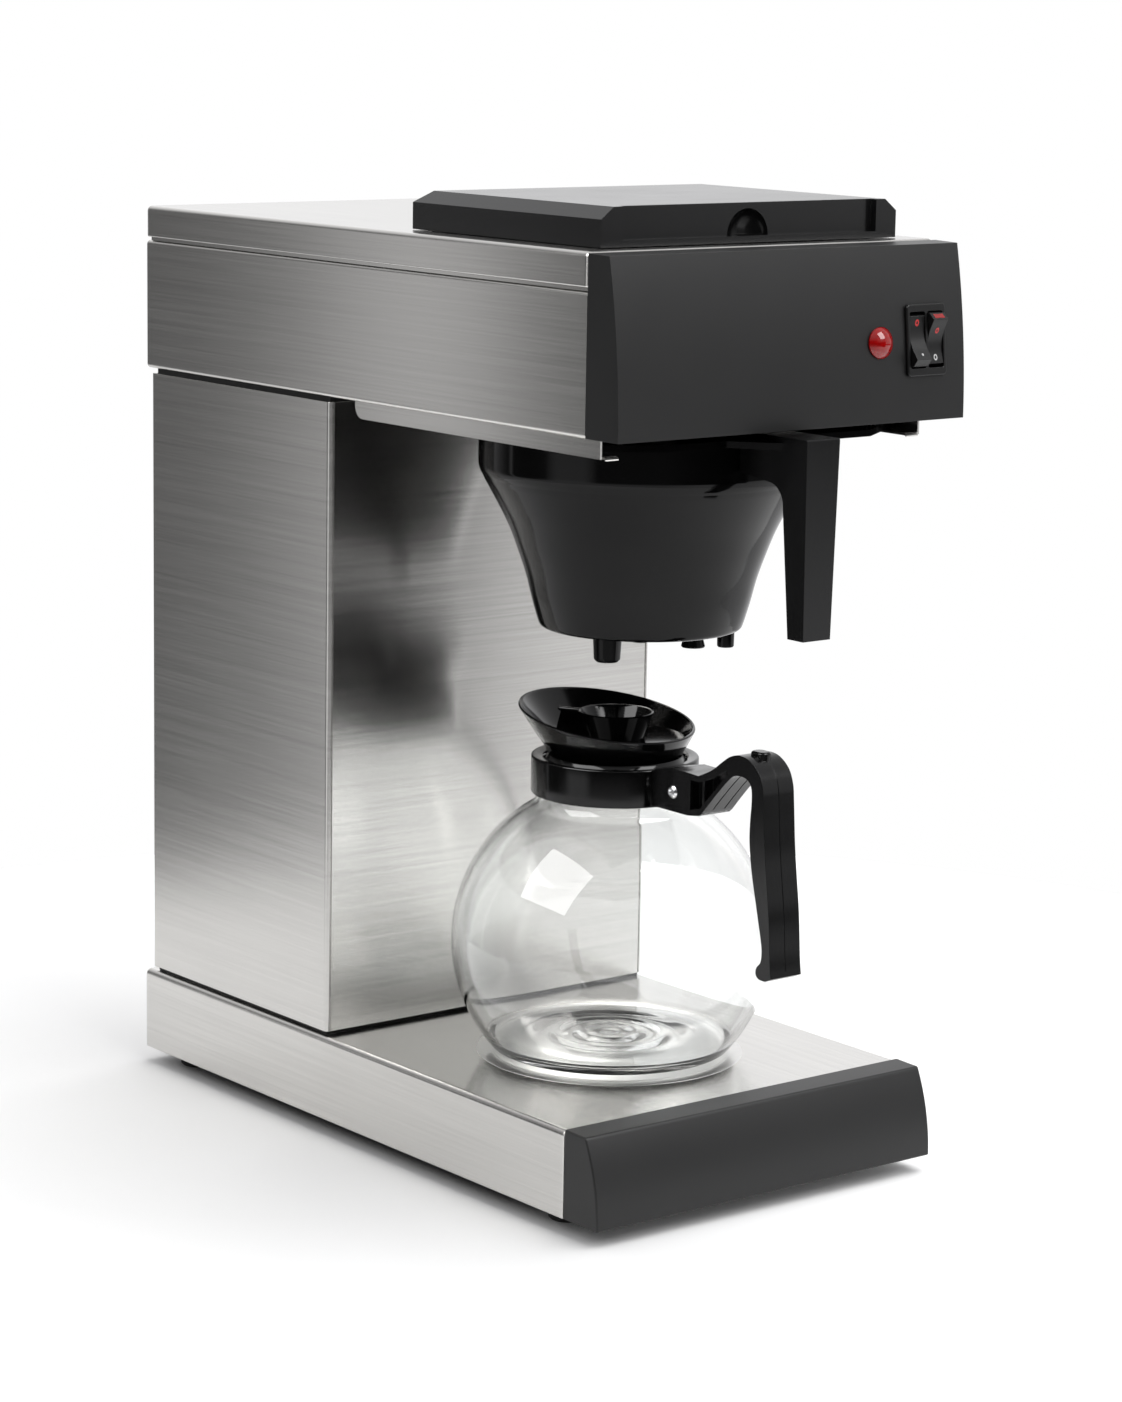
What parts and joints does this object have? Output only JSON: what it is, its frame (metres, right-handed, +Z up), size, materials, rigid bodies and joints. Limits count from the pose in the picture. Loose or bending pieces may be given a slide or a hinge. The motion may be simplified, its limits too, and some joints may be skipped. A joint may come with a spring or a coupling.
{
  "type": "drip coffee maker",
  "caption": "Stainless drip coffee maker with fill lid, rocker switches, pull-out brew basket, hot plate and glass jug.",
  "frame": {"origin": "middle of the machine's footprint box, on the surface it stands on", "axes": "+Z up, -Y out of the front (jug, basket handle, switches), +X to the right seen from the front"},
  "size_m": [0.2058, 0.4112, 0.4638],
  "materials": {
    "brushed_stainless": "satin brushed",
    "inner_sheet": "plain zinc-coated sheet",
    "screw_steel": "plated",
    "plate_steel": "fine brushed",
    "fascia_plastic": "fine textured",
    "gloss_plastic": "moulded gloss",
    "switch_plastic": "satin",
    "red_lens": "clear red",
    "glass": "clear",
    "rubber": "matte",
    "silicone": "translucent white",
    "tank_plastic": "translucent white",
    "cast_aluminium": "as cast",
    "heater_sheath": "heat-tinted",
    "brass": "plain",
    "ceramic": "matte"
  },
  "bodies": {
    "root": {"base_shell": "brushed_stainless", "base_bottom_plate": "inner_sheet", "base_front_trim": "fascia_plastic", "feet": "rubber", "foot_screws": "screw_steel", "hot_plate": "plate_steel", "plate_seal": "rubber", "plate_heater": "heater_sheath", "plate_clamp": "inner_sheet", "clamp_nut": "screw_steel", "plate_thermostat": "ceramic", "terminal_block": "ceramic", "cord_gland": "switch_plastic", "gland_nut": "switch_plastic", "earth_screw": "brass", "column_frame": "inner_sheet", "column_shell": "brushed_stainless", "rear_cover": "brushed_stainless", "rear_cover_screws": "screw_steel", "upper_housing": "brushed_stainless", "top_cover": "brushed_stainless", "front_fascia": "fascia_plastic", "fascia_screws": "screw_steel", "left_rail": "brushed_stainless", "right_rail": "brushed_stainless", "rail_screws": "screw_steel", "water_tank": "tank_plastic", "outlet_strainer": "screw_steel", "cold_hose": "silicone", "check_valve": "silicone", "hose_clamps": "screw_steel", "flow_heater": "cast_aluminium", "heating_rod": "heater_sheath", "heater_bracket": "inner_sheet", "heater_screws": "screw_steel", "heater_thermostat": "ceramic", "thermal_fuse": "ceramic", "riser_hose": "silicone", "spray_head": "plate_steel", "wiring_loom": "rubber", "switch_frame": "switch_plastic", "switch_terminals": "brass", "lamp_body": "switch_plastic", "lamp_lens": "red_lens", "hinge_brackets": "screw_steel", "hinge_pins": "screw_steel"},
    "fill_lid": {"fill_lid": "fascia_plastic"},
    "left_rocker": {"left_rocker": "switch_plastic"},
    "right_rocker": {"right_rocker": "switch_plastic"},
    "brew_basket": {"brew_basket": "gloss_plastic", "basket_handle": "gloss_plastic", "basket_screws": "screw_steel"},
    "jug": {"jug_glass": "glass", "jug_collar": "gloss_plastic", "jug_handle": "gloss_plastic", "jug_handle_screw": "screw_steel"},
    "jug_lid": {"jug_lid": "gloss_plastic"}
  },
  "joints": [
    {"name": "fill_lid_hinge", "type": "hinge", "parent": "root", "child": "fill_lid", "pos_m": [0, -0.01115, 0.4489], "axis": [-1, 0, 0], "range_deg": [0, 95]},
    {"name": "left_rocker_hinge", "type": "hinge", "parent": "root", "child": "left_rocker", "pos_m": [0.07285, -0.18446, 0.40139], "axis": [1, 0, 0], "range_deg": [0, 24]},
    {"name": "right_rocker_hinge", "type": "hinge", "parent": "root", "child": "right_rocker", "pos_m": [0.08375, -0.18446, 0.40139], "axis": [1, 0, 0], "range_deg": [-24, 0]},
    {"name": "basket_slide", "type": "slide", "parent": "root", "child": "brew_basket", "axis": [0, -1, 0], "range_m": [-0.0165, 0.19]},
    {"name": "jug_slide", "type": "slide", "parent": "root", "child": "jug", "axis": [0, -1, 0], "range_m": [0, 0.2]},
    {"name": "jug_lid_lift", "type": "slide", "parent": "jug", "child": "jug_lid", "axis": [0, 0, 1], "range_m": [0, 0.025]}
  ]
}
